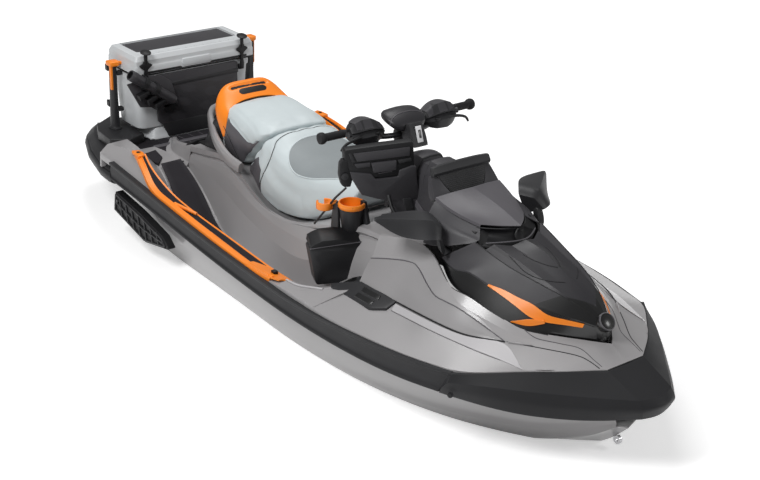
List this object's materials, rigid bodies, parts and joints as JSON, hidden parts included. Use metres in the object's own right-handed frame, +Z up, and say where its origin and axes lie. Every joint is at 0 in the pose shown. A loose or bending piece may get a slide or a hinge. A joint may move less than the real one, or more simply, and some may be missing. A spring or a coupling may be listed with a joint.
{
  "type": "personal watercraft",
  "caption": "Sit-down personal watercraft for fishing: stepped vee hull, straddle seat, handlebar, front hood, jet pump with reverse bucket, and a cooler on the stern platform.",
  "frame": {"origin": "amidships on the centreline, at the waterline", "axes": "+X forward to the bow, +Y to port, +Z up"},
  "size_m": [3.7, 1.2548, 1.205],
  "materials": {
    "hull_grey": "gloss",
    "deck_grey": "gloss",
    "black_plastic": "satin",
    "black_gloss": "gloss",
    "orange_plastic": "satin",
    "rubber_mat": "matte",
    "seat_vinyl": "satin",
    "cooler_plastic": "satin",
    "dark_trim": "satin",
    "grip_rubber": "matte",
    "bar_steel": "satin",
    "pump_aluminium": "cast",
    "impeller_steel": "brushed",
    "engine_iron": "cast",
    "eye_steel": "brushed"
  },
  "bodies": {
    "craft": {"hull": "hull_grey", "deck": "deck_grey", "foredeck": "deck_grey", "seat_pedestal": "deck_grey", "engine_block": "engine_iron", "ride_plate": "pump_aluminium", "intake_grate": "pump_aluminium", "pump_housing": "pump_aluminium", "venturi": "pump_aluminium", "sponsons": "black_plastic", "side_rails": "black_plastic", "bow_bumper": "black_plastic", "swim_platform": "black_plastic", "traction_mats": "rubber_mat", "footrests": "orange_plastic", "cleats": "dark_trim", "seat_front": "seat_vinyl", "grab_handle": "orange_plastic", "seat_rail": "dark_trim", "console": "black_plastic", "fish_finder": "black_plastic", "side_box": "black_plastic", "cup_holder": "black_plastic", "cup_rim": "orange_plastic", "rod_ring": "orange_plastic", "accessory_brackets": "black_plastic", "cooler_base": "black_plastic", "cooler_body": "cooler_plastic", "cooler_latches": "dark_trim", "cooler_panel": "dark_trim", "rack_posts": "black_plastic", "post_hooks": "orange_plastic", "tool_holder": "black_plastic", "towing_eyes": "eye_steel"},
    "steering": {"handlebar": "bar_steel", "grips": "grip_rubber", "switch_housings": "black_plastic", "levers": "black_plastic", "handlebar_pad": "grip_rubber"},
    "nozzle": {"steering_nozzle": "pump_aluminium"},
    "bucket": {"reverse_bucket": "pump_aluminium"},
    "impeller_shaft": {"impeller": "impeller_steel"},
    "front_hood": {"hood": "black_gloss", "gauge_visor": "black_plastic", "mirrors": "black_gloss"},
    "lid": {"cooler_lid": "cooler_plastic"},
    "rear_seat": {"seat_rear": "seat_vinyl"}
  },
  "joints": [
    {"name": "steering_turn", "type": "hinge", "parent": "craft", "child": "steering", "pos_m": [0.295, 0, 0.9], "axis": [-0.6157, 0, 0.788], "range_deg": [-22, 22]},
    {"name": "nozzle_turn", "type": "hinge", "parent": "craft", "child": "nozzle", "pos_m": [-1.12, 0, -0.07], "axis": [0, 0, 1], "range_deg": [-20, 20]},
    {"name": "bucket_swing", "type": "hinge", "parent": "craft", "child": "bucket", "pos_m": [-1.065, 0, -0.07], "axis": [0, -1, 0], "range_deg": [0, 60]},
    {"name": "impeller_spin", "type": "hinge", "parent": "craft", "child": "impeller_shaft", "pos_m": [-0.895, 0, -0.07], "axis": [1, 0, 0], "continuous": true},
    {"name": "hood_lift", "type": "hinge", "parent": "craft", "child": "front_hood", "pos_m": [1.545, 0, 0.401], "axis": [0, 1, 0], "range_deg": [0, 40]},
    {"name": "lid_lift", "type": "hinge", "parent": "craft", "child": "lid", "pos_m": [-1.66, 0, 0.7055], "axis": [0, -1, 0], "range_deg": [0, 95]},
    {"name": "rear_seat_lift", "type": "slide", "parent": "craft", "child": "rear_seat", "axis": [0, 0, 1], "range_m": [0, 0.25]}
  ],
  "couplings": [
    {"joint": "nozzle_turn", "follows": "steering_turn", "ratio": -0.9}
  ]
}
